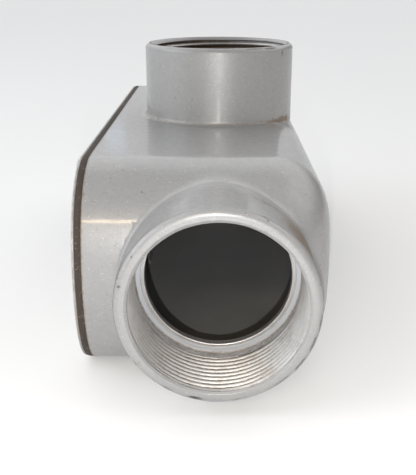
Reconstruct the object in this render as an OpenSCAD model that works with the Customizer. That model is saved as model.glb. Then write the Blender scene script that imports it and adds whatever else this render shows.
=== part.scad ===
// Three-hub conduit outlet body (tee), 2-1/2 inch trade size.
// A cast box with threaded hubs front, rear and top, closed on its left side by a gasketed sheet cover.
// Origin: where the branch hub's axis meets the base. +Z runs up the branch, Y along the run, -X out of the cover.

/* [Body casting] */
// Height of the box, base to top face
body_height = 96; // [92:1:100]
// Length of the box between the tips of its round ends
box_length = 298; // [290:2:306]
// From the run axis to the face that the gasket lies on
opening_depth = 57.5; // [55:0.5:60]
// From the run axis to the outside of the closed back
back_depth = 50; // [48:0.5:52]
// Radius of the box's four outline corners
corner_r = 36; // [36]
// Radius of the shallow arc across each end of the box
end_r = 73; // [73]
// Radius rolled round the edge of the closed back
back_edge_r = 27; // [24:1:29]
// Casting wall thickness
wall = 5; // [4:0.5:5.5]

/* [Hubs] */
// Outside diameter of each hub
hub_od = 83; // [81:0.5:84]
// Face to face length of the run
run_length = 348; // [340:1:356]
// Height of the branch hub's face above the base
branch_height = 136; // [132:1:140]
// Bore of each hub over its thread crests
thread_minor_d = 71.4; // [68:0.2:73]
// Depth from the hub's face at which the thread ends
thread_end = 31.5; // [28:0.5:33]
// Bore of the smooth bushing ring at the bottom of each hub
throat_d = 64.2; // [61:0.2:64.4]

/* [Cover and gasket] */
// Gasket thickness
gasket_t = 3; // [2:0.1:3.2]
// Width of the gasket's rim
gasket_rim = 9; // [8:0.5:10]
// Sheet thickness of the cover
cover_t = 1.2; // [1:0.1:2]
// How far the middle of the cover is pressed outwards
panel_rise = 2.2; // [1.5:0.1:3]

/* [Screws] */
// Distance between neighbouring cover screws
screw_spacing = 97; // [90:1:104]
// Distance of each cover screw from the top or bottom of the box
screw_inset = 9.5; // [9:0.5:10]
// Screw shank diameter
screw_d = 6.2; // [6:0.1:6.3]
// Screw head diameter
head_d = 11.5; // [10:0.5:12]
// Screw head height
head_h = 3.8; // [3:0.2:4.2]

/* [Hidden] */
$fn = 64;
over = 1;                               // how far a cutter runs past the face it cuts

// Outline of the box, seen along X with the run axis as its centre line
half_h = body_height / 2;
tip_y = box_length / 2;
end_y = tip_y - end_r;                  // centre of the end arc
corner_z = half_h - corner_r;           // centres of the corner arcs
join_y = sqrt(pow(end_r - corner_r, 2) - pow(corner_z, 2));
corner_y = end_y + join_y;              // the arcs join on the line through both centres

// Hub bore, as distances in from the hub's face
hub_r = hub_od / 2;
rim_r = 2.8;                            // rounding of the hub's outer rim
crest_r = thread_minor_d / 2;
relief_r = crest_r + 1.9;               // turned clear behind the thread
chamfer = 1.2;                          // entry chamfer, mouth to crest
ledge = 35.5;                           // face of the bushing ring
throat_end = 39.5;                      // back of the bushing ring
throat_r = throat_d / 2;
lip_r = 1.5;                            // rounding of the bushing's edge
collar_r = hub_r - 1;                   // collar round the bushing, inside the box

// Cover stack along -X
gasket_x = -opening_depth - gasket_t;
cover_x = gasket_x - cover_t;
cover_inset = 0.4;
panel_inset = 16.5;

// Screw seats in the box
shank_r = screw_d / 2;
tapped_r = shank_r + 0.075;
shank_l = 18;
boss_l = 16;
gasket_hole_r = shank_r + 0.3;
cover_hole_r = shank_r + 0.3;
screw_boss_r = 8.5;
washer_r = 7;
washer_bore_r = shank_r + 0.05;
washer_t = 1.2;
washer_x = cover_x - washer_t;
screw_count = 6;

body_color = "#a3a4a1";
metal_color = "#bfc1c2";

// Screw places as [y, z]: three along the top edge, three along the bottom
screw_places = [
    for (z = [body_height - screw_inset, screw_inset]) for (y = [-screw_spacing, 0, screw_spacing]) [y, z]
];

// Turns a plan drawn in XY and built up Z into the part's frame: up Z becomes along +X,
// and the plan's centre line lands on the run axis.
module on_run_axis() {
    translate([0, 0, half_h]) rotate([90, 0, 90]) children();
}

module quarter_disc(r) {
    intersection() {
        circle(r);
        square(r);
    }
}

// The part of the plane where an end arc forms the outline, seen from the arc's centre
module end_wedge() {
    reach = 3;
    polygon([[0, 0], reach * [join_y, corner_z], reach * [join_y, -corner_z]]);
}

// The box's outline moved in by inset
module outline(inset) {
    square([2 * corner_y, 2 * (half_h - inset)], center = true);
    for (end = [0, 1]) mirror([end, 0]) {
        translate([end_y, 0]) intersection() {
            circle(end_r - inset);
            end_wedge();
        }
        for (side = [-1, 1]) translate([corner_y, side * corner_z]) circle(corner_r - inset);
    }
}

// Half of a section through the tray: r out from the centre, height h, outer far edge rounded by f
module tray_section(r, h, f) {
    square([r - f, h]);
    square([r, h - f]);
    translate([r - f, h - f]) quarter_disc(f);
}

// Solid on the outline moved in by inset, h tall, with its far edge rounded by f all round
module tray(inset, h, f) {
    translate([-corner_y, 0, 0]) rotate([90, 0, 90]) linear_extrude(2 * corner_y)
        for (side = [0, 1]) mirror([side, 0]) tray_section(half_h - inset, h, f);
    for (end = [0, 1]) mirror([end, 0, 0]) {
        translate([end_y, 0, 0]) intersection() {
            rotate_extrude() tray_section(end_r - inset, h, f);
            linear_extrude(h) end_wedge();
        }
        for (side = [-1, 1]) translate([corner_y, side * corner_z, 0])
            rotate_extrude() tray_section(corner_r - inset, h, f);
    }
}

// Places children at every hub: their Z runs out of the hub and Z = 0 is its face
module at_run_hubs() {
    for (end = [0, 1]) mirror([0, end, 0])
        translate([0, -run_length / 2, half_h]) rotate([90, 0, 0]) children();
}
module at_branch_hub() {
    translate([0, 0, branch_height]) children();
}

// Outside of a hub, length l back from its face, with a rounded rim
module hub_outside(l) {
    rotate_extrude() {
        translate([0, -l]) square([hub_r, l - rim_r]);
        translate([0, -rim_r]) square([hub_r - rim_r, rim_r]);
        translate([hub_r - rim_r, -rim_r]) quarter_disc(rim_r);
    }
}

// Everything cut out of a hub: chamfer, thread bore, relief, bushing ledge and throat of length l
module hub_bore(l) {
    rotate_extrude() polygon([
        [0, over], [crest_r + chamfer + over, over], [crest_r, -chamfer],
        [crest_r, -thread_end], [relief_r, -thread_end], [relief_r, -ledge],
        [throat_r + lip_r, -ledge], [throat_r, -ledge - lip_r], [throat_r, -l], [0, -l]
    ]);
}

// Places children at each cover screw: their Z runs into the box from the gasket face
module at_screw(i) {
    translate([-opening_depth, screw_places[i][0], screw_places[i][1]]) rotate([0, 90, 0]) children();
}

module body_casting() {
    branch_root = branch_height - body_height + back_edge_r;
    color(body_color) difference() {
        union() {
            on_run_axis() translate([0, 0, -opening_depth])
                tray(0, opening_depth + back_depth, back_edge_r);
            at_run_hubs() hub_outside(throat_end);
            at_branch_hub() hub_outside(branch_root);
        }
        difference() {
            on_run_axis() translate([0, 0, -opening_depth - over])
                tray(wall, opening_depth + back_depth - wall + over, back_edge_r - wall);
            at_run_hubs() translate([0, 0, -throat_end]) cylinder(r = collar_r, h = throat_end);
            for (i = [0 : screw_count - 1]) at_screw(i) cylinder(r = screw_boss_r, h = boss_l);
        }
        at_run_hubs() hub_bore(throat_end + over);
        at_branch_hub() hub_bore(branch_root);
        for (i = [0 : screw_count - 1]) at_screw(i) translate([0, 0, -over])
            cylinder(r = tapped_r, h = boss_l - 1.5 + over);
    }
}

module cover_gasket() {
    color("#3a3431") difference() {
        union() {
            on_run_axis() translate([0, 0, gasket_x]) linear_extrude(gasket_t) difference() {
                outline(0);
                outline(gasket_rim);
            }
            for (i = [0 : screw_count - 1]) at_screw(i)
                translate([0, 0, -gasket_t]) cylinder(r = screw_boss_r, h = gasket_t);
        }
        for (i = [0 : screw_count - 1]) at_screw(i)
            translate([0, 0, -gasket_t - over]) cylinder(r = gasket_hole_r, h = gasket_t + 2 * over);
    }
}

module cover_plate() {
    color("#c9cac8") difference() {
        on_run_axis() difference() {
            union() {
                translate([0, 0, cover_x]) linear_extrude(cover_t) outline(cover_inset);
                translate([0, 0, cover_x - panel_rise]) linear_extrude(panel_rise + over)
                    outline(panel_inset);
            }
            translate([0, 0, gasket_x - panel_rise]) linear_extrude(panel_rise + over)
                outline(panel_inset + cover_t);
        }
        for (i = [0 : screw_count - 1]) at_screw(i)
            translate([0, 0, -gasket_t - cover_t - over])
                cylinder(r = cover_hole_r, h = cover_t + 2 * over);
    }
}

module cover_screw(i) {
    slot_w = 1.5;
    slot_d = 1.7;
    dome_r = 9;
    color(metal_color) at_screw(i) translate([0, 0, washer_x + opening_depth]) difference() {
        union() {
            cylinder(r = shank_r, h = shank_l - 1);
            translate([0, 0, shank_l - 1]) cylinder(r1 = shank_r, r2 = shank_r - 0.8, h = 1);
            intersection() {
                translate([0, 0, -head_h]) cylinder(d = head_d, h = head_h);
                translate([0, 0, dome_r - head_h]) sphere(dome_r);
            }
        }
        translate([-head_d, -slot_w / 2, -head_h - over]) cube([2 * head_d, slot_w, slot_d + over]);
    }
}

module screw_washer(i) {
    color(metal_color) at_screw(i) translate([0, 0, washer_x + opening_depth]) difference() {
        cylinder(r = washer_r, h = washer_t);
        translate([0, 0, -over]) cylinder(r = washer_bore_r, h = washer_t + 2 * over);
    }
}

body_casting();
cover_gasket();
cover_plate();
for (i = [0 : screw_count - 1]) {
    cover_screw(i);
    screw_washer(i);
}
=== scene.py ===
"""Looks of the tee conduit outlet body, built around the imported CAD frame.

Lengths are millimetres in the frame's axes; MM turns them into metres.
"""
import math
import bmesh
import bpy
import numpy as np
import openvdb
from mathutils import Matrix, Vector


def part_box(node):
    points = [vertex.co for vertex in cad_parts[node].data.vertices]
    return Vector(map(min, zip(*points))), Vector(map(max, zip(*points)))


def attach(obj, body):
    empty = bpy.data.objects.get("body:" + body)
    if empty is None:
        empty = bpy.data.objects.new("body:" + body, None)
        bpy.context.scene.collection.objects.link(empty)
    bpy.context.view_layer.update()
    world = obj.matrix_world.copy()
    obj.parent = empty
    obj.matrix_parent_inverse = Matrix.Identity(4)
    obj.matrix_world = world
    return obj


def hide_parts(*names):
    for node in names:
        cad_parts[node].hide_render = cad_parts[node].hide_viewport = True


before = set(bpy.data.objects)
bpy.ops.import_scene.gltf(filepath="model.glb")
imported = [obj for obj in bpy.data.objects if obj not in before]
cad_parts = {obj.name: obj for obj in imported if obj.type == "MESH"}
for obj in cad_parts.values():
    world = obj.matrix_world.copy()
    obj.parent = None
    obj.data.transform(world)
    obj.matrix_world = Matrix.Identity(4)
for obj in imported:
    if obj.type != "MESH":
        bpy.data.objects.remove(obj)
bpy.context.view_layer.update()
MM = 0.001

# ---------------------------------------------------------------- sizes


def box_mm(node):
    low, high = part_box(node)
    return np.array(low) / MM, np.array(high) / MM


casting_low, casting_high = box_mm("body_casting")
gasket_low, gasket_high = box_mm("cover_gasket")
cover_low, cover_high = box_mm("cover_plate")
OPENING_X = casting_low[0]
BACK_X = casting_high[0]
RUN_Y = casting_high[1]
BRANCH_Z = casting_high[2]
GASKET_X = gasket_low[0]
COVER_X = box_mm("screw_washer_1")[1][0]
HALF_H = gasket_high[2] / 2
AXIS_Z = HALF_H

# Outline of the box: flat sides, corner arcs and one shallow arc across each end
TIP_Y = 149.0
CORNER_R = 36.0
END_R = 73.0
END_Y = TIP_Y - END_R
CORNER_Z = HALF_H - CORNER_R
JOIN_Y = math.sqrt((END_R - CORNER_R) ** 2 - CORNER_Z**2)
CORNER_Y = END_Y + JOIN_Y
JOIN_ANGLE = math.atan2(CORNER_Z, JOIN_Y)

WALL = 5.0
BACK_EDGE_R = 27.0
HUB_R = 41.5
RUN_FILLET = 2.0
BRANCH_FILLET = 1.8
INSIDE_FILLET = 2.0
BRANCH_HOLE_Z = AXIS_Z + 21
SCREW_BOSS_R = 8.5
SCREW_BOSS_L = 16.0
TAPPED_R = 3.2
TAPPED_L = 14.5

# Hub end: radii, and distances in from the hub's face
HUB_END_L = 14.0
RIM_R = 2.8
MOUTH_R = 36.9
WIDE_MOUTH_R = 38.3
LEDGE = 35.5
THROAT_END = 39.4
THROAT_R = 32.1
COLLAR_R = 40.5
SEAT_R = 39.3
SEAT_GAP = 0.3
NORMAL_REACH = 0.2
SKIN = 0.02
PITCH = 3.175
CREST_R = 35.7
THREAD_DEPTH = 2.0
LEAD_IN = 1.2
THREAD_START = 0.6
MOUTH_EDGE_R = 0.35
RELIEF_SLOPE = 1.5
RING_STEP = 0.25
DENT_DEPTH = 0.35
THREAD_END = 30.5
RELIEF_R = 36.4
LIP_R = 0.5

# Painted shade along the front hub: a dark brown band that stands in for a dark reflection on the hub's right
# side; its middle and half width in degrees up from +X
PAINTED_SHADE_ANGLE = 28
PAINTED_SHADE_WIDTH = 27
PAINTED_SHADE_STRENGTH = 1.15

COVER_HOLE_R = 3.4
SCREW_PITCH = 1.27
SLOT_HALF_W = 0.75
SLOT_DEPTH = 1.7

SCREWS = range(1, 7)


def screw_place(i):
    low, high = box_mm(f"cover_screw_{i}")
    return (low[1] + high[1]) / 2, (low[2] + high[2]) / 2


SCREW_PLACES = [screw_place(i) for i in SCREWS]

# ---------------------------------------------------------------- meshes


def mesh_object(name, verts, *face_arrays):
    """An object at the origin from points in millimetres and arrays of faces."""
    mesh = bpy.data.meshes.new(name)
    mesh.vertices.add(len(verts))
    mesh.vertices.foreach_set("co", (np.asarray(verts) * MM).astype(np.float32).ravel())
    corners = np.concatenate([f.ravel() for f in face_arrays]).astype(np.int32)
    totals = np.concatenate([np.full(len(f), f.shape[1]) for f in face_arrays])
    starts = np.concatenate([[0], np.cumsum(totals)[:-1]]).astype(np.int32)
    mesh.loops.add(len(corners))
    mesh.loops.foreach_set("vertex_index", corners)
    mesh.polygons.add(len(totals))
    mesh.polygons.foreach_set("loop_start", starts)
    mesh.update(calc_edges=True)
    mesh.validate()
    obj = bpy.data.objects.new(name, mesh)
    bpy.context.collection.objects.link(obj)
    return obj


def add_attribute(mesh, name, values):
    layer = mesh.attributes.new(name, "FLOAT", "POINT")
    layer.data.foreach_set("value", np.asarray(values, np.float32))


def points_mm(mesh):
    flat = np.zeros(len(mesh.vertices) * 3, np.float32)
    mesh.vertices.foreach_get("co", flat)
    return flat.reshape(-1, 3).astype(float) / MM


def weld(obj, sharp_degrees=35):
    """Joins doubled points, faces the mesh outwards and shades it smooth between sharp edges."""
    work = bmesh.new()
    work.from_mesh(obj.data)
    bmesh.ops.remove_doubles(work, verts=work.verts, dist=2e-6)
    bmesh.ops.dissolve_degenerate(work, edges=work.edges, dist=1e-7)
    bmesh.ops.recalc_face_normals(work, faces=work.faces)
    work.to_mesh(obj.data)
    work.free()
    obj.data.polygons.foreach_set("use_smooth", np.ones(len(obj.data.polygons), bool))
    obj.data.set_sharp_from_angle(angle=math.radians(sharp_degrees))


def grid_faces(rows, columns, closed_rows):
    """Quads of a grid of points stored row by row; closed_rows joins the last row to the first."""
    row = np.arange(rows if closed_rows else rows - 1)
    column = np.arange(columns - 1)
    a, b = np.meshgrid(row, column, indexing="ij")
    after = (a + 1) % rows
    corners = [a * columns + b, a * columns + b + 1, after * columns + b + 1, after * columns + b]
    return np.stack([c.ravel() for c in corners], axis=1)


def cut(obj, tools):
    """Takes the tools away from obj and removes them."""
    for tool in tools:
        modifier = obj.modifiers.new("cut", "BOOLEAN")
        modifier.operation = "DIFFERENCE"
        modifier.solver = "EXACT"
        modifier.object = tool
        bpy.context.view_layer.objects.active = obj
        bpy.ops.object.modifier_apply(modifier=modifier.name)
    for tool in tools:
        bpy.data.objects.remove(tool)


def lathe(name, profile, place, columns=96):
    """A closed solid turned from (radius, height) points; place maps (a, b, height) columns to the frame."""
    profile = np.array(profile, float)
    turn = np.linspace(0, 2 * math.pi, columns + 1)
    radius = profile[:, :1] * np.ones_like(turn)
    height = profile[:, 1:] * np.ones_like(turn)
    points = place(radius * np.cos(turn), radius * np.sin(turn), height)
    faces = grid_faces(len(profile), len(turn), closed_rows=True)
    return mesh_object(name, points.reshape(-1, 3), faces)


def out_of_cover(y, z):
    """Places a turned piece on the cover: height runs out along -X from the box's open face."""
    return lambda a, b, h: np.stack([OPENING_X - h, y + a, z + b], axis=-1)


# ---------------------------------------------------------------- distance field of the casting


def rounded_and(a, b, r):
    return np.minimum(np.maximum(a, b), -r) + np.hypot(np.maximum(a + r, 0), np.maximum(b + r, 0))


def rounded_or(a, b, r):
    return np.maximum(np.minimum(a, b), r) - np.hypot(np.maximum(r - a, 0), np.maximum(r - b, 0))


def outline_distance(y, z):
    """Signed distance to the box's outline; z is counted from the run axis."""
    y, z = np.abs(y), np.abs(z)
    corner = np.hypot(y - CORNER_Y, z - CORNER_Z) - CORNER_R
    end = np.hypot(y - END_Y, z) - END_R
    on_end = (y - END_Y) * CORNER_Z > z * JOIN_Y
    return np.where(on_end, end, np.where(y > CORNER_Y, corner, z - HALF_H))


def casting_distance(x, y, z):
    """Signed distance to the casting's surface, without the hub ends that are built separately."""
    up = z - AXIS_Z
    along = np.abs(y)
    edge = outline_distance(y, up)
    run_r = np.hypot(x, up)
    branch_r = np.hypot(x, y)

    def hub(radius, height):
        under_skin = 0.25 * np.clip(height + HUB_END_L - 1, 0, 2)
        return np.maximum(radius - HUB_R + under_skin, height + 2)

    run_hub = hub(run_r, along - RUN_Y)
    branch_hub = np.maximum(hub(branch_r, z - BRANCH_Z), AXIS_Z - z)
    box = rounded_and(edge, x - BACK_X, BACK_EDGE_R)
    outside = rounded_or(rounded_or(box, run_hub, RUN_FILLET), branch_hub, BRANCH_FILLET)

    chamber = rounded_and(edge + WALL, x - BACK_X + WALL, BACK_EDGE_R - WALL)
    fixed = np.maximum(run_r - COLLAR_R, RUN_Y - THROAT_END - along)
    for place_y, place_z in SCREW_PLACES:
        boss = np.hypot(y - place_y, z - place_z) - SCREW_BOSS_R
        fixed = np.minimum(fixed, np.maximum(boss, x - OPENING_X - SCREW_BOSS_L))
    body = np.maximum(outside, rounded_or(-chamber, fixed, INSIDE_FILLET))

    seat_l = LEDGE + 1.5
    throat_r = THROAT_R + 0.4
    holes = np.maximum(run_r - SEAT_R, RUN_Y - seat_l - along)
    holes = np.minimum(holes, np.maximum(branch_r - SEAT_R, BRANCH_Z - seat_l - z))
    holes = np.minimum(holes, np.maximum(run_r - throat_r, CORNER_Y - along))
    holes = np.minimum(holes, np.maximum(branch_r - throat_r, BRANCH_HOLE_Z - z))
    for place_y, place_z in SCREW_PLACES:
        tapped = np.hypot(y - place_y, z - place_z) - TAPPED_R
        holes = np.minimum(holes, np.maximum(tapped, x - OPENING_X - TAPPED_L))
    return np.maximum(body, -holes)


def gradient(field, points, step=0.05):
    parts = []
    for axis in range(3):
        shift = np.zeros(3)
        shift[axis] = step
        ahead = field(*(points + shift).T)
        behind = field(*(points - shift).T)
        parts.append((ahead - behind) / (2 * step))
    return np.stack(parts, axis=1)


def field_object(name, field, low, high, voxel, adaptivity):
    """Meshes the zero surface of a distance field and pulls the mesh onto it."""
    margin = 3 * voxel
    counts = [int(math.ceil((b - a + 2 * margin) / voxel)) + 1 for a, b in zip(low, high)]
    start = np.array(low) - margin
    axes = [start[k] + voxel * np.arange(counts[k]) for k in range(3)]
    values = np.empty(counts, np.float32)
    for k, x in enumerate(axes[0]):
        y, z = np.meshgrid(axes[1], axes[2], indexing="ij")
        values[k] = field(np.full_like(y, x), y, z)
    grid = openvdb.FloatGrid(margin)
    grid.copyFromArray(np.clip(values, -margin, margin))
    points, triangles, quads = grid.convertToPolygons(isovalue=0.0, adaptivity=adaptivity)
    points = points.astype(float) * voxel + start
    for _ in range(3):
        slope = gradient(field, points)
        length = np.maximum((slope**2).sum(1), 0.3)
        step = -slope * (field(*points.T) / length)[:, None]
        reach = np.linalg.norm(step, axis=1, keepdims=True)
        points += step * np.minimum(1, 0.5 * voxel / np.maximum(reach, 1e-9))
    return mesh_object(name, points, *[f for f in (triangles, quads) if len(f)])


def cut_open_face(obj):
    """Trims what lies past the open face and closes the rim there with flat faces."""
    work = bmesh.new()
    work.from_mesh(obj.data)
    everything = [*work.verts, *work.edges, *work.faces]
    plane = (OPENING_X * MM, 0, 0)
    cut_edges = bmesh.ops.bisect_plane(work, geom=everything, dist=1e-7, plane_co=plane, plane_no=(-1, 0, 0),
                                       clear_outer=True)["geom_cut"]
    rim = [e for e in cut_edges if isinstance(e, bmesh.types.BMEdge)]
    bmesh.ops.triangle_fill(work, edges=rim, use_beauty=True, use_dissolve=False, normal=(-1, 0, 0))
    work.to_mesh(obj.data)
    work.free()


def field_normals(obj, field):
    """Shades the mesh smooth with the field's own normals, and the flat open face with its plane's."""
    mesh = obj.data
    totals = np.zeros(len(mesh.polygons), np.int32)
    mesh.polygons.foreach_get("loop_total", totals)
    corner_face = np.repeat(np.arange(len(totals)), totals)
    corner_point = np.zeros(len(mesh.loops), np.int32)
    mesh.loops.foreach_get("vertex_index", corner_point)
    centres = np.zeros(len(totals) * 3, np.float32)
    mesh.polygons.foreach_get("center", centres)
    centres = centres.reshape(-1, 3)[corner_face] / MM
    corners = points_mm(mesh)[corner_point]
    inward = centres - corners
    reach = np.linalg.norm(inward, axis=1, keepdims=True)
    near = corners + inward * np.minimum(0.25, NORMAL_REACH / np.maximum(reach, 1e-6))
    normals = gradient(field, near)
    normals /= np.maximum(np.linalg.norm(normals, axis=1, keepdims=True), 1e-6)
    normals[centres[:, 0] < OPENING_X + 1e-3] = (-1, 0, 0)
    mesh.polygons.foreach_set("use_smooth", np.ones(len(totals), bool))
    mesh.normals_split_custom_set(normals.tolist())


# ---------------------------------------------------------------- node materials


class Nodes:
    """The node tree of a material or world: a socket or a plain value goes into each named input."""

    def __init__(self, owner, coordinates="Object"):
        self.owner = owner
        owner.use_nodes = True
        self.tree = owner.node_tree
        self.tree.nodes.clear()
        self.where = self.add("ShaderNodeTexCoord").outputs[coordinates]

    def add(self, kind, inputs=None, **settings):
        node = self.tree.nodes.new(kind)
        for key, value in settings.items():
            setattr(node, key, value)
        for key, value in (inputs or {}).items():
            if isinstance(value, bpy.types.NodeSocket):
                self.tree.links.new(value, node.inputs[key])
            elif isinstance(key, str) and isinstance(value, tuple) and len(value) == 3:
                node.inputs[key].default_value = (*value, 1) if node.inputs[key].type == "RGBA" else value
            else:
                node.inputs[key].default_value = value
        return node

    def noise(self, size_mm, detail=3, roughness=0.55, stretch=None, seed=0.0):
        """Noise from 0 to 1 whose features are about size_mm across."""
        where = self.where
        if stretch or seed:
            offset = (seed, seed, seed)
            where = self.add("ShaderNodeMapping", {"Vector": where, "Scale": stretch or (1, 1, 1),
                                                   "Location": offset}).outputs[0]
        inputs = {"Vector": where, "Scale": 1 / (size_mm * MM), "Detail": detail, "Roughness": roughness}
        return self.add("ShaderNodeTexNoise", inputs).outputs["Fac"]

    def attribute(self, name):
        return self.add("ShaderNodeAttribute", attribute_name=name).outputs["Fac"]

    def math(self, operation, a, b=0.0, clamp=False):
        return self.add("ShaderNodeMath", {0: a, 1: b}, operation=operation, use_clamp=clamp).outputs[0]

    def steps(self, value, low, high):
        """0 below low, 1 above high, and a smooth ramp between."""
        return self.add("ShaderNodeMapRange", {"Value": value, "From Min": low, "From Max": high},
                        interpolation_type="SMOOTHSTEP").outputs[0]

    def mix(self, share, a, b):
        node = self.add("ShaderNodeMix", data_type="RGBA")
        for socket, value in ((node.inputs[0], share), (node.inputs[6], a), (node.inputs[7], b)):
            if isinstance(value, bpy.types.NodeSocket):
                self.tree.links.new(value, socket)
            else:
                socket.default_value = (*value, 1) if isinstance(value, tuple) else value
        return node.outputs[2]

    def blend(self, share, a, b):
        """A number between a and b."""
        node = self.add("ShaderNodeMix", {0: share, 2: a, 3: b}, data_type="FLOAT")
        return node.outputs[0]

    def bump(self, height, depth_mm, below=None):
        inputs = {"Height": height, "Strength": 1.0, "Distance": depth_mm * MM}
        if below:
            inputs["Normal"] = below
        return self.add("ShaderNodeBump", inputs).outputs[0]

    def finish(self, **inputs):
        shader = self.add("ShaderNodeBsdfPrincipled",
                          {key.replace("_", " "): value for key, value in inputs.items()})
        self.show(shader, "ShaderNodeOutputMaterial")
        return self.owner

    def show(self, shader, output_kind):
        self.tree.links.new(shader.outputs[0], self.add(output_kind).inputs["Surface"])


def new_material(name):
    return Nodes(bpy.data.materials.new(name))


def paint_material():
    n = new_material("metallic_paint")
    grain = n.noise(1.1, 3, 0.7)
    mottle = n.noise(3.2, 4, 0.6)
    grey = n.mix(n.noise(45, 2), (0.268, 0.268, 0.272), (0.302, 0.299, 0.297))
    grey = n.mix(n.math("MULTIPLY", n.steps(mottle, 0.35, 0.75), 0.25), grey, (0.228, 0.227, 0.228))
    grey = n.mix(n.math("MULTIPLY", n.steps(grain, 0.50, 0.72), 0.30), grey, (0.16, 0.16, 0.165))
    # Lighter flakes in the paint; their light colour, laid on everywhere, also stands in for the flakes'
    # glints as painted glints
    flake_and_painted_glint = n.steps(n.noise(0.95, 2, 0.5, seed=2.6), 0.66, 0.74)
    grey = n.mix(n.math("MULTIPLY", flake_and_painted_glint, 0.55), grey, (0.50, 0.50, 0.52))
    # Inside the chamber and bores the paint turns a darker grey: partly a darker wall, partly painted shade
    inside = n.attribute("inside")
    dust = n.steps(n.noise(2.4, 4, 0.7, seed=4.2), 0.60, 0.72)
    wall = n.mix(n.noise(25, 3), (0.155, 0.154, 0.155), (0.195, 0.190, 0.184))
    wall = n.mix(n.math("MULTIPLY", dust, 0.5), wall, (0.22, 0.21, 0.19))
    grey = n.mix(inside, grey, wall)
    # Tan from the dirt attribute: real dirt round the branch base and at the open face, plus painted shade
    # along the front hub's right side and painted warm light on the chamber floor
    ragged = n.math("SUBTRACT", n.noise(2.2, 5, 0.7), 0.5)
    grime_and_painted_shading = n.math("ADD", n.attribute("dirt_and_painted_shading"), n.math("MULTIPLY", ragged, 1.1))
    grime_and_painted_shading = n.math("MULTIPLY", n.steps(grime_and_painted_shading, 0.35, 0.9), 0.85)
    tan = n.mix(n.noise(5, 3, seed=1.1), (0.26, 0.205, 0.14), (0.13, 0.095, 0.065))
    grey = n.mix(grime_and_painted_shading, grey, tan)
    ragged = n.math("SUBTRACT", n.noise(1.5, 5, 0.65), 0.5)
    chip = n.math("ADD", n.attribute("chip"), n.math("MULTIPLY", ragged, 1.1))
    worn = n.mix(n.steps(chip, 0.85, 1.15), (0.155, 0.135, 0.125), (0.045, 0.040, 0.045))
    chip = n.steps(chip, 0.58, 0.68)
    grey = n.mix(chip, grey, worn)
    scuff = n.noise(1.1, 3, 0.6, stretch=(0.3, 1.0, 1.6), seed=3.1)
    scuff = n.math("MULTIPLY", n.steps(scuff, 0.68, 0.74), n.steps(n.noise(30, 2, seed=7.7), 0.5, 0.62))
    grey = n.mix(n.math("MULTIPLY", scuff, 0.3), grey, (0.5, 0.5, 0.5))
    fleck = n.math("MULTIPLY", n.steps(n.noise(2.1, 2, 0.4, seed=9.3), 0.745, 0.775), 0.6)
    grey = n.mix(fleck, grey, (0.09, 0.085, 0.09))
    rough = n.blend(n.steps(mottle, 0.3, 0.7), 0.40, 0.47)
    rough = n.blend(n.math("MAXIMUM", grime_and_painted_shading, inside), rough, 0.8)
    cast = n.bump(n.noise(14, 2, 0.5), 0.20)
    peel = n.bump(n.noise(2.0, 2, 0.5), 0.012, cast)
    chipped = n.bump(n.math("SUBTRACT", 1.0, chip), 0.12, peel)
    fine = n.bump(grain, 0.07, chipped)
    gloss = n.blend(n.math("MAXIMUM", chip, n.math("MAXIMUM", inside, grime_and_painted_shading)), 0.55, 0.0)
    return n.finish(Base_Color=grey, Metallic=0.18, Roughness=rough, Normal=fine, IOR=1.45,
                    Coat_Weight=gloss, Coat_Roughness=0.12, Coat_Normal=chipped)


def thread_material():
    n = new_material("machined_thread")
    # Brown in the thread roots and relief, deeper where the groove cuts deeper: partly dirt, partly painted
    # shade in the roots
    ragged = n.math("SUBTRACT", n.noise(1.3, 5, 0.7, seed=1.7), 0.5)
    dirt_and_painted_shading = n.math("ADD", n.attribute("groove"), n.math("MULTIPLY", ragged, 0.8))
    dirt_and_painted_shading = n.math("MULTIPLY", n.steps(dirt_and_painted_shading, 0.36, 0.95), 0.94)
    metal = n.mix(n.noise(6, 3), (0.46, 0.45, 0.44), (0.57, 0.56, 0.55))
    stain = n.steps(n.noise(9, 4, 0.65, seed=6.4), 0.5, 0.72)
    metal = n.mix(n.math("MULTIPLY", stain, 0.45), metal, (0.27, 0.22, 0.18))
    metal = n.mix(dirt_and_painted_shading, metal, (0.15, 0.105, 0.075))
    turned_face = n.math("MULTIPLY", n.steps(n.math("MULTIPLY", n.attribute("groove"), -1.0), 0.1, 0.8),
                         n.blend(stain, 1.0, 0.6))
    metal = n.mix(turned_face, metal, (0.50, 0.515, 0.54))
    rough = n.blend(turned_face, n.blend(dirt_and_painted_shading, 0.42, 0.8), 0.62)
    bump = n.bump(n.noise(0.8, 4, 0.6), 0.05)
    return n.finish(Base_Color=metal, Metallic=0.75, Roughness=rough, Normal=bump)


def rubber_material():
    n = new_material("gasket_neoprene")
    speck = n.noise(1.8, 5, 0.75)
    brown = n.mix(n.noise(9, 3), (0.026, 0.019, 0.016), (0.050, 0.038, 0.031))
    brown = n.mix(n.math("MULTIPLY", n.steps(speck, 0.54, 0.70), 0.75), brown, (0.19, 0.155, 0.125))
    rough = n.blend(speck, 0.7, 0.95)
    return n.finish(Base_Color=brown, Roughness=rough, Normal=n.bump(speck, 0.15))


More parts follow.
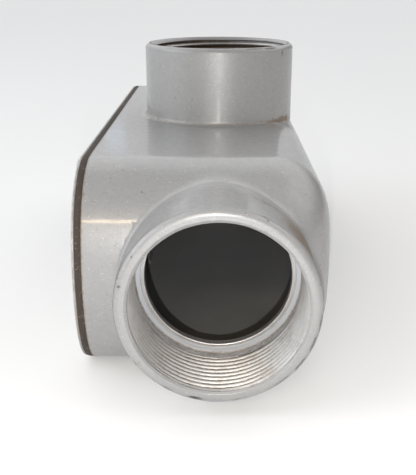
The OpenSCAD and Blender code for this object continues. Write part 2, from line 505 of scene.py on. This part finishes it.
def cover_material():
    n = new_material("cover_paint")
    mottle = n.noise(2.6, 4, 0.6)
    grey = n.mix(n.noise(60, 2), (0.34, 0.34, 0.335), (0.40, 0.40, 0.39))
    grey = n.mix(n.math("MULTIPLY", n.steps(mottle, 0.5, 0.8), 0.25), grey, (0.27, 0.27, 0.27))
    worn = n.math("ADD", n.attribute("edge"), n.math("MULTIPLY", n.math("SUBTRACT", n.noise(4, 4), 0.5), 1.2))
    worn = n.steps(worn, 0.85, 1.05)
    grey = n.mix(worn, grey, (0.30, 0.27, 0.24))
    scratch = n.noise(0.8, 2, 0.5, stretch=(1.0, 0.05, 1.0), seed=5.0)
    scratch = n.math("MULTIPLY", n.steps(scratch, 0.70, 0.74), n.steps(n.noise(40, 2, seed=2.0), 0.5, 0.6))
    grey = n.mix(n.math("MULTIPLY", scratch, 0.5), grey, (0.72, 0.72, 0.72))
    rough = n.blend(n.steps(mottle, 0.3, 0.7), 0.38, 0.5)
    normal = n.bump(n.noise(1.5, 3), 0.03)
    return n.finish(Base_Color=grey, Metallic=0.25, Roughness=rough, Normal=normal)


def steel_material():
    n = new_material("zinc_plated_steel")
    stain = n.noise(2.0, 5, 0.65)
    metal = n.mix(stain, (0.62, 0.61, 0.58), (0.72, 0.71, 0.70))
    metal = n.mix(n.math("MULTIPLY", n.steps(stain, 0.62, 0.8), 0.5), metal, (0.30, 0.26, 0.20))
    rough = n.blend(n.noise(1.0, 3), 0.25, 0.45)
    return n.finish(Base_Color=metal, Metallic=0.95, Roughness=rough, Normal=n.bump(n.noise(0.5, 3), 0.01))


paint = paint_material()
thread_metal = thread_material()
rubber = rubber_material()
cover_paint = cover_material()
steel = steel_material()


def dress(obj, body, slot, *materials):
    for material in materials:
        obj.data.materials.append(material)
    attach(obj, body)
    return obj


# ---------------------------------------------------------------- casting


def build_casting():
    """The painted casting without its hub ends, and the places where it is dirty or carries painted shade and
    painted light.
    """
    low = [OPENING_X - 2, -RUN_Y, 0]
    high = [BACK_X, RUN_Y, BRANCH_Z]
    obj = field_object("casting_shell", casting_distance, low, high, voxel=1.0, adaptivity=0.06)
    cut_open_face(obj)
    field_normals(obj, casting_distance)
    x, y, z = points_mm(obj.data).T
    up = z - AXIS_Z
    edge = outline_distance(y, up)
    chamber = rounded_and(edge + WALL, x - BACK_X + WALL, BACK_EDGE_R - WALL)
    hollow = np.minimum(chamber, np.minimum(np.hypot(x, up), np.hypot(x, y) + (z < AXIS_Z) * 99) - SEAT_R)
    # Inside: chamber and bores, painted darker grey, partly as painted shade
    add_attribute(obj.data, "inside", hollow < 0.6)
    above_top = np.maximum(z - 2 * HALF_H, -3)
    to_branch = np.hypot(np.maximum(np.hypot(x, y) - HUB_R, 0), above_top)
    to_run = np.hypot(np.maximum(np.hypot(x, up) - HUB_R, 0), np.maximum(np.abs(y) - TIP_Y, -4))
    rightward = np.clip(x / HUB_R, -1, 1)
    dirt_and_painted_shading = (1.3 + 0.1 * rightward) * np.exp(-to_branch / 1.15)
    # Towards +X, round the branch base and the run-hub junctions, the tan is stronger: partly grime, partly
    # painted shade on the darker right side
    dirt_and_painted_shading = np.maximum(dirt_and_painted_shading, 0.55 * np.exp(-((to_branch / 7) ** 2)) * (rightward > 0) * rightward)
    dirt_and_painted_shading = np.maximum(dirt_and_painted_shading, (0.50 + 0.45 * np.clip(rightward, 0, 1)) * np.exp(-to_run / 3.5))
    dirt_and_painted_shading = np.maximum(dirt_and_painted_shading, 0.85 * np.exp(-(x - OPENING_X) / 0.8))
    # Painted shade: a dark brown band along the front hub's right side, standing in for a dark reflection
    round_hub = np.degrees(np.arctan2(up, x)) - PAINTED_SHADE_ANGLE
    painted_shade_band = np.exp(-((round_hub / PAINTED_SHADE_WIDTH) ** 2)) * (np.hypot(x, up) < HUB_R + 1)
    painted_shade_band = PAINTED_SHADE_STRENGTH * painted_shade_band * np.clip((-y - TIP_Y) / 2, 0, 1)
    dirt_and_painted_shading = np.maximum(dirt_and_painted_shading, painted_shade_band)
    # Painted light: a warm tan band on the chamber floor past y = 56, standing in for warm light falling down
    # the branch bore
    dirt_and_painted_shading = np.maximum(dirt_and_painted_shading, 0.6 * (hollow < 0.6) * (y > 56) * (z < 12))
    add_attribute(obj.data, "dirt_and_painted_shading", dirt_and_painted_shading)
    add_attribute(obj.data, "chip", np.zeros(len(x)))
    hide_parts("body_casting")
    return dress(obj, "casting", "painted_casting", paint)


# ---------------------------------------------------------------- hub ends


def thread_radius(phase):
    """Radius of the thread at a phase from 0 to 1 of a turn, crest first."""
    crest, root = 0.06, 0.05
    rise = (np.abs(phase - 0.5) * 2 - root) / (1 - crest - root)
    return CREST_R + THREAD_DEPTH * (1 - np.clip(rise, 0, 1))


def angle_from(angle, centre):
    """How far an angle is from the centre, in degrees from -180 to 180."""
    return (angle - centre + 180) % 360 - 180


def build_hub_end(name, place, mouth_r, wear, grime_and_painted_shading):
    """Rim, mouth, helical thread, relief and bushing ring of one hub.

    Rows of (radius, depth, groove, machined) go round the hub's axis; each row of the thread is sheared
    along it, so that the grid follows the helix. Groove is the brown on the metal, partly dirt and partly
    painted shade in the thread roots, or clean turning below 0.
    """
    columns = 288
    samples = (0, 0.03, 0.06, 0.16, 0.28, 0.40, 0.475, 0.525, 0.60, 0.72, 0.84, 0.94)
    turn = np.linspace(0, 2 * math.pi, columns + 1)
    rows = []

    def add(radius, depth, metal=False, groove=0.0):
        rows.append((radius + 0 * turn, depth + 0 * turn, groove + 0 * turn, metal))

    def arc(centre_r, centre_d, radius, start, stop, count, metal=False):
        for angle in np.radians(np.linspace(start, stop, count)):
            add(centre_r + radius * math.cos(angle), centre_d - radius * math.sin(angle), metal)

    outer = HUB_R + SKIN
    for depth in (HUB_END_L, 12, 10, 8, 6.5, 5.5, 4.5, 3.6, 2.8, 2.2):
        add(outer, depth)
    arc(outer - RIM_R, RIM_R, RIM_R, 0, 90, 9)
    add(mouth_r + 0.9, 0)
    arc(mouth_r + MOUTH_EDGE_R, MOUTH_EDGE_R, MOUTH_EDGE_R, 90, 150, 4)
    turns = int(THREAD_END / PITCH) + 2
    for k in range(turns):
        for phase in samples:
            raw = (k + phase + turn / (2 * math.pi) - 1) * PITCH
            depth = np.clip(raw, THREAD_START, THREAD_END)
            thread = thread_radius((raw / PITCH - turn / (2 * math.pi)) % 1.0)
            thread = CREST_R + (thread - CREST_R) * np.clip((depth - THREAD_START) / LEAD_IN, 0, 1)
            bore = np.maximum(thread, mouth_r - depth)
            relief = RELIEF_R - np.maximum(THREAD_END - depth, 0) * RELIEF_SLOPE
            radius = np.maximum(bore, relief)
            cut_in = np.clip((radius - CREST_R) / THREAD_DEPTH, 0, 1)
            rows.append((radius, depth, cut_in ** 0.9 + 0.1, True))
    add(RELIEF_R, THREAD_END + 1, True, 0.5)
    add(RELIEF_R, LEDGE - 0.5, True, 0.6)
    add(RELIEF_R - 0.5, LEDGE, True, 0.5)
    add(RELIEF_R - 0.8, LEDGE, True, -1)
    add(THROAT_R + 1.9, LEDGE, True, -1)
    add(THROAT_R + 1.6, LEDGE + RING_STEP, True, -0.5)
    add(THROAT_R + LIP_R + 0.2, LEDGE + RING_STEP, True, 0.2)
    arc(THROAT_R + LIP_R, LEDGE + RING_STEP + LIP_R, LIP_R, 90, 180, 5, True)
    add(THROAT_R, LEDGE + 1.0, True, 0.45)
    add(THROAT_R, THROAT_END - 0.2, True, 0.45)
    add(THROAT_R + 0.2, THROAT_END, True, 0.45)
    hidden = SEAT_R + SEAT_GAP
    add(hidden - 2, THROAT_END)
    add(hidden, LEDGE)
    add(hidden, HUB_END_L)

    radius = np.array([r[0] for r in rows])
    depth = np.array([r[1] for r in rows])
    groove = np.array([r[2] for r in rows])
    angle = np.broadcast_to(np.degrees(turn), radius.shape)
    along = depth - (outer - radius)
    on_rim = np.where(depth < 1, radius > mouth_r - 0.5, (radius > HUB_R - RIM_R) & (depth < HUB_END_L))
    chip = np.zeros_like(radius)
    for centre, place_along, length, width, strength in wear:
        off = angle_from(angle, centre) * math.radians(outer)
        spot = np.exp(-((off / length) ** 2) - ((along - place_along) / width) ** 2)
        chip = np.maximum(chip, strength * spot * on_rim)
    dent = DENT_DEPTH * np.clip(chip - 0.5, 0, 1)
    points = place((radius - dent) * np.cos(turn), (radius - dent) * np.sin(turn), -depth)
    faces = grid_faces(len(rows), len(turn), closed_rows=True)
    obj = mesh_object(name, points.reshape(-1, 3), faces)
    add_attribute(obj.data, "groove", groove.ravel())
    add_attribute(obj.data, "chip", chip.ravel())
    # Painted shade in part: the bore walls turn darker grey past the ledge
    add_attribute(obj.data, "inside", np.clip((depth - LEDGE - 1.2) / 1.5, 0, 0.3).ravel())
    # Painted shade: a dark brown band along the hub's right side, standing in for a dark reflection
    painted_shade_band = np.exp(-((angle_from(angle, PAINTED_SHADE_ANGLE) / PAINTED_SHADE_WIDTH) ** 2)) * np.clip((depth - 3.5) / 3, 0, 1)
    add_attribute(obj.data, "dirt_and_painted_shading", (grime_and_painted_shading * painted_shade_band * (radius > HUB_R - 1)).ravel())
    past_mouth = (radius < mouth_r - depth - 0.02) | (depth > mouth_r - CREST_R)
    machined = np.array([r[3] for r in rows])[:, None] & past_mouth
    bare = machined.ravel()[faces].all(axis=1)
    obj.data.polygons.foreach_set("material_index", bare.astype(np.int32))
    weld(obj)
    return dress(obj, "casting", "painted_casting", paint, thread_metal)


def at_front(a, b, h):
    return np.stack([a, -RUN_Y - h, AXIS_Z + b], axis=-1)


def at_rear(a, b, h):
    return np.stack([-a, RUN_Y + h, AXIS_Z + b], axis=-1)


def at_branch(a, b, h):
    return np.stack([a, b, BRANCH_Z + h], axis=-1)


# Rim wear: angle in degrees from the side, place behind the outer corner (across the face if negative), half
# length round the rim, half width, and strength
FRONT_WEAR = [(256.5, -1.3, 3.8, 1.1, 1.5), (165.5, -0.8, 1.0, 2.2, 0.95), (146.5, -1.0, 0.7, 0.8, 1.2),
              (140.5, 3.4, 0.7, 0.9, 1.2), (65, 3.2, 2.0, 0.8, 0.95), (30.6, 3.4, 1.2, 1.4, 1.0),
              (15.5, 0.8, 0.6, 1.0, 1.2), (-8, 0.3, 5.0, 1.2, 0.94), (-20, -0.2, 6.0, 1.4, 0.96),
              (-35, -0.3, 6.0, 1.4, 0.96), (-52, -0.8, 7.0, 1.0, 0.84), (-66, -2.4, 1.6, 0.5, 0.95),
              (214, -0.3, 7.0, 0.8, 0.80), (238, -1.0, 5.0, 0.9, 0.88), (282, -1.0, 6.0, 0.8, 0.86)]
REAR_WEAR = [(30, 0.2, 3.0, 0.8, 0.8), (200, 0.0, 2.5, 1.4, 0.9), (285, 0.4, 6.0, 0.8, 0.6)]
BRANCH_WEAR = [(-62, -0.6, 9.0, 1.0, 0.95), (-48, -0.3, 7.0, 1.3, 1.02), (-35, 3.6, 0.7, 2.2, 1.2),
               (-128, 3.4, 0.4, 1.6, 1.0), (60, 0.0, 5.0, 0.7, 0.6), (150, 0.2, 4.0, 1.0, 0.6)]

# ---------------------------------------------------------------- gasket, cover and fasteners


def outline_path(spacing=1.0):
    """Points round the box's outline as y, z from the run axis, and their outward directions."""
    corner = math.pi / 2 - JOIN_ANGLE
    pieces = []

    def arc(centre_y, centre_z, radius, start, sweep):
        count = max(8, int(radius * abs(sweep) / spacing))
        angle = start + sweep * np.arange(count) / count
        pieces.append((centre_y + radius * np.cos(angle), centre_z + radius * np.sin(angle),
                       np.cos(angle), np.sin(angle)))

    def side(sign):
        count = int(2 * CORNER_Y / spacing)
        y = sign * (CORNER_Y - 2 * CORNER_Y * np.arange(count) / count)
        pieces.append((y, np.full(count, sign * HALF_H), np.zeros(count), np.full(count, float(sign))))

    for sign in (1, -1):
        turned = 0 if sign == 1 else math.pi
        arc(sign * END_Y, 0, END_R, turned - JOIN_ANGLE, 2 * JOIN_ANGLE)
        arc(sign * CORNER_Y, sign * CORNER_Z, CORNER_R, turned + JOIN_ANGLE, corner)
        side(sign)
        arc(-sign * CORNER_Y, sign * CORNER_Z, CORNER_R, turned + math.pi / 2, corner)
    return [np.concatenate(part) for part in zip(*pieces)]


def swept_rows(path, profile):
    """One row of points round the path for each (inset, x); an inset may vary along the path."""
    y, z, out_y, out_z = path
    return [np.stack([x + 0 * y, y - inset * out_y, AXIS_Z + z - inset * out_z], axis=1)
            for inset, x in profile]


def hole_tools(radius):
    tools = []
    for n, (place_y, place_z) in enumerate(SCREW_PLACES):
        profile = [(0, -3), (radius, -3), (radius, 9), (0, 9)]
        tool = lathe(f"hole_{n}", profile, out_of_cover(place_y, place_z), columns=40)
        weld(tool)
        tools.append(tool)
    return tools


def build_gasket():
    """The gasket: a slightly ragged cut edge outside, and ears round the screws inside."""
    path = outline_path()
    y, z = path[:2]
    rim = np.full(len(y), 9.0)
    for place_y, place_z in SCREW_PLACES:
        along = np.where(np.abs(z - (place_z - AXIS_Z)) < 14, y - place_y, 99)
        ear = 9.5 + np.sqrt(np.maximum(SCREW_BOSS_R**2 - along**2, 0))
        rim = np.where(np.abs(along) < SCREW_BOSS_R, np.maximum(rim, ear), rim)
    travel = np.cumsum(np.hypot(np.gradient(y), np.gradient(z)))
    ragged = 0.07 * np.sin(travel / 1.9) * np.sin(travel / 5.3 + 1) + 0.06 * np.sin(travel / 11.7)
    thick = OPENING_X - GASKET_X
    face, back = OPENING_X, GASKET_X
    profile = [(0.35 + ragged, face), (0.08 + ragged, face - 0.25 * thick), (ragged, face - 0.5 * thick),
               (0.10 + ragged, face - 0.78 * thick), (0.4 + ragged, back), (5, back), (rim - 0.3, back),
               (rim, back + 0.3), (rim, face - 0.3), (rim - 0.3, face), (5, face)]
    profile = [(np.maximum(inset, 0), x) for inset, x in profile]
    rows = [np.concatenate([row, row[:1]]) for row in swept_rows(path, profile)]
    faces = grid_faces(len(rows), len(y) + 1, closed_rows=True)
    obj = mesh_object("gasket_ring", np.concatenate(rows), faces)
    weld(obj, 50)
    cut(obj, hole_tools(COVER_HOLE_R))
    obj.data.set_sharp_from_angle(angle=math.radians(50))
    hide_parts("cover_gasket")
    return dress(obj, "gasket", "gasket_rubber", rubber)


def build_cover():
    """The cover: a flat flange with a raised panel, pressed from one sheet."""
    sheet = GASKET_X - COVER_X
    rise = COVER_X - cover_low[0]
    foot, bend = 14.2, 1.5
    back, front = GASKET_X, COVER_X
    profile = [(0.9, back), (0.55, back - 0.25), (0.4, back - 0.55), (0.4, front + 0.5), (0.55, front + 0.18),
               (0.95, front), (3, front)]
    for share in np.linspace(0, 1, 9):
        profile.append((foot + share * 2.6, front - rise * (3 - 2 * share) * share**2))
    profile += [(19, front - rise), (24, front - rise), (30, front - rise)]
    under = [(30, front - rise + sheet), (24, front - rise + sheet)]
    for share in np.linspace(1, 0, 9):
        under.append((foot + bend + share * 2.6, front - rise * (3 - 2 * share) * share**2 + sheet))
    under.append((8, back))
    rows = swept_rows(outline_path(), profile + under)
    count = len(rows[0])
    faces = []
    for row in range(len(rows)):
        if row == len(profile) - 1:
            continue
        after = (row + 1) % len(rows)
        column = np.arange(count)
        beside = (column + 1) % count
        faces.append(np.stack([row * count + column, row * count + beside,
                               after * count + beside, after * count + column], axis=1))
    last, first_under = len(profile) - 1, len(profile)
    caps = [np.arange(last * count, (last + 1) * count)[None, :],
            np.arange(first_under * count, (first_under + 1) * count)[None, ::-1]]
    obj = mesh_object("cover_sheet", np.concatenate(rows), np.concatenate(faces), *caps)
    weld(obj, 50)
    cut(obj, hole_tools(COVER_HOLE_R))
    obj.data.set_sharp_from_angle(angle=math.radians(50))
    x, y, z = points_mm(obj.data).T
    rim = -outline_distance(y, z - AXIS_Z)
    add_attribute(obj.data, "edge", np.exp(-np.maximum(rim - 0.4, 0) / 0.8))
    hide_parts("cover_plate")
    return dress(obj, "cover", "cover_sheet", cover_paint)


def build_screw(i, place_y, place_z):
    """A slotted domed screw; heights count out from the box's open face along -X."""
    washer_out = COVER_X - box_mm(f"screw_washer_{i}")[0][0]
    seat = OPENING_X - COVER_X + washer_out
    tip = OPENING_X - box_mm(f"cover_screw_{i}")[1][0]
    head_r, head_h, dome_r = 5.75, 3.8, 9.0
    shank_r, root_r, pitch = 3.05, 2.45, SCREW_PITCH
    place = out_of_cover(place_y, place_z)
    profile = [(0, seat + 0.02), (head_r - 0.4, seat + 0.02), (head_r - 0.1, seat + 0.15),
               (head_r, seat + 0.45)]
    side_h = seat + head_h - dome_r + math.sqrt(dome_r**2 - head_r**2)
    profile.append((head_r, side_h - 0.15))
    for r in np.linspace(head_r - 0.12, 0, 14):
        profile.append((r, seat + head_h - dome_r + math.sqrt(dome_r**2 - r**2)))
    obj = lathe(f"screw_{i}", profile, place, columns=72)
    weld(obj, 40)
    long, wide = 9, SLOT_HALF_W
    corners = np.array([(a, b, h) for h in (seat + head_h - SLOT_DEPTH, seat + 9)
                        for a, b in ((-long, -wide), (long, -wide), (long, wide), (-long, wide))])
    turn = 0.7 * i
    a = corners[:, 0] * math.cos(turn) - corners[:, 1] * math.sin(turn)
    b = corners[:, 0] * math.sin(turn) + corners[:, 1] * math.cos(turn)
    sides = [(0, 3, 2, 1), (4, 5, 6, 7), (0, 1, 5, 4), (1, 2, 6, 5), (2, 3, 7, 6), (3, 0, 4, 7)]
    slot = mesh_object("slot", place(a, b, corners[:, 2]), np.array(sides))
    weld(slot)
    cut(obj, [slot])

    turn = np.linspace(0, 2 * math.pi, 49)
    rows = [(0 * turn, seat + 0.5 + 0 * turn), (2.6 + 0 * turn, seat + 0.5 + 0 * turn)]
    top, bottom = seat - 0.3, tip
    for k in range(int((top - bottom) / pitch) + 2):
        for phase, radius in ((0, shank_r), (0.12, shank_r), (0.5, root_r), (0.62, root_r)):
            raw = top - (k + phase - turn / (2 * math.pi)) * pitch
            height = np.clip(raw, bottom, top)
            point = shank_r - np.clip(bottom + 1.4 - height, 0, 2) * 0.7
            rows.append((np.minimum(np.where(raw > top, root_r, radius), point), height))
    rows.append((0 * turn, bottom + 0 * turn))
    radius, height = np.array([r for r, h in rows]), np.array([h for r, h in rows])
    points = place(radius * np.cos(turn), radius * np.sin(turn), height)
    shank = mesh_object("shank", points.reshape(-1, 3), grid_faces(len(rows), len(turn), closed_rows=False))
    weld(shank, 30)
    obj.data.set_sharp_from_angle(angle=math.radians(40))
    bpy.ops.object.select_all(action="DESELECT")
    shank.select_set(True)
    obj.select_set(True)
    bpy.context.view_layer.objects.active = obj
    bpy.ops.object.join()
    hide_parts(f"cover_screw_{i}")
    return dress(obj, f"screw_{i}", "fastener_steel", steel)


def build_washer(i, place_y, place_z):
    low, high = box_mm(f"screw_washer_{i}")
    top, bottom = OPENING_X - low[0], OPENING_X - high[0]
    outer, inner, round_r = (high[1] - low[1]) / 2, 3.16, 0.25
    profile = [(inner, bottom), (outer - round_r, bottom), (outer, bottom + round_r), (outer, top - round_r),
               (outer - round_r, top), (inner + 0.15, top), (inner, top - 0.15)]
    obj = lathe(f"washer_{i}", profile, out_of_cover(place_y, place_z), columns=64)
    weld(obj, 40)
    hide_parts(f"screw_washer_{i}")
    return dress(obj, f"washer_{i}", "fastener_steel", steel)


build_casting()
build_hub_end("front_hub_end", at_front, MOUTH_R, FRONT_WEAR, PAINTED_SHADE_STRENGTH)
build_hub_end("rear_hub_end", at_rear, MOUTH_R, REAR_WEAR, 0.0)
build_hub_end("branch_hub_end", at_branch, WIDE_MOUTH_R, BRANCH_WEAR, 0.0)
build_gasket()
build_cover()
for number, spot in zip(SCREWS, SCREW_PLACES):
    build_screw(number, *spot)
    build_washer(number, *spot)

# ---------------------------------------------------------------- stage


def build_world():
    """A pale studio: cool from the left and above, and a dim warm wall to the right."""
    world = bpy.data.worlds.new("studio")
    n = Nodes(world, "Generated")
    split = n.add("ShaderNodeSeparateXYZ", {"Vector": n.where})
    across, ahead, up = split.outputs
    wall = n.mix(n.steps(ahead, -0.7, -0.1), (0.10, 0.11, 0.12), (0.44, 0.46, 0.50))
    wall = n.mix(n.steps(ahead, 0.2, 0.6), wall, (0.80, 0.80, 0.81))
    wall = n.mix(n.steps(across, 0.15, 0.7), wall, (0.14, 0.120, 0.108))
    soft_ring = n.math("MULTIPLY", n.steps(up, 0.2, 0.5), n.math("SUBTRACT", 1.0, n.steps(up, 0.84, 0.93)))
    soft_ring = n.math("MULTIPLY", soft_ring, n.steps(ahead, -0.55, 0.0))
    colour = n.mix(soft_ring, wall, (1.56, 1.56, 1.56))
    background = n.add("ShaderNodeBackground", {"Color": colour, "Strength": 1.0})
    n.show(background, "ShaderNodeOutputWorld")
    bpy.context.scene.world = world


def area_light(name, place_mm, aim_mm, size_mm, power, colour=(1, 1, 1)):
    lamp = bpy.data.lights.new(name, "AREA")
    lamp.shape = "RECTANGLE"
    lamp.size, lamp.size_y = size_mm[0] * MM, size_mm[1] * MM
    lamp.energy = power
    lamp.color = colour
    obj = bpy.data.objects.new(name, lamp)
    bpy.context.collection.objects.link(obj)
    place, aim = np.array(place_mm) * MM, np.array(aim_mm) * MM
    obj.location = place
    obj.visible_camera = False
    direction = aim - place
    obj.rotation_euler = (math.atan2(math.hypot(direction[0], direction[1]), -direction[2]), 0,
                          math.atan2(direction[1], direction[0]) - math.pi / 2)
    return obj


def build_floor():
    n = new_material("pale_floor")
    material = n.finish(Base_Color=(0.80, 0.80, 0.80), Roughness=0.9,
                        Emission_Color=(1.0, 1.0, 1.0), Emission_Strength=0.08)
    half = 12000.0
    corners = np.array([(-half, -half, 0), (half, -half, 0), (half, half, 0), (-half, half, 0)])
    floor = mesh_object("floor", corners, np.array([(0, 1, 2, 3)]))
    floor.data.materials.append(material)


def build_camera():
    camera = bpy.data.cameras.new("camera")
    camera.sensor_fit = "VERTICAL"
    camera.sensor_height = 36
    camera.lens = 58.92
    camera.clip_start = 0.01
    obj = bpy.data.objects.new("camera", camera)
    bpy.context.collection.objects.link(obj)
    obj.location = (-0.25 * MM, -452.3 * MM, (AXIS_Z + 125.1) * MM)
    obj.rotation_euler = (math.radians(90 - 18.80), 0, math.radians(0.76))
    bpy.context.scene.camera = obj


build_floor()
build_camera()
build_world()
area_light("flash", (-4, -470, AXIS_Z + 96), (0, -60, AXIS_Z), (3, 3), 1.08, (1, 0.99, 0.975))
area_light("warm_lamp", (-255, -1480, 885), (-45, -145, AXIS_Z + 28), (500, 90), 4.0, (1.0, 0.79, 0.50))
area_light("window_pane", (-184, 909, 298), (-51, -77, 2 * HALF_H), (36, 42), 0.0050, (0.55, 0.75, 1.0))
area_light("window", (-1450, -450, 620), (0, 0, AXIS_Z), (1300, 1000), 9.0, (0.86, 0.93, 1.0))
bpy.context.scene.view_settings.view_transform = "Standard"
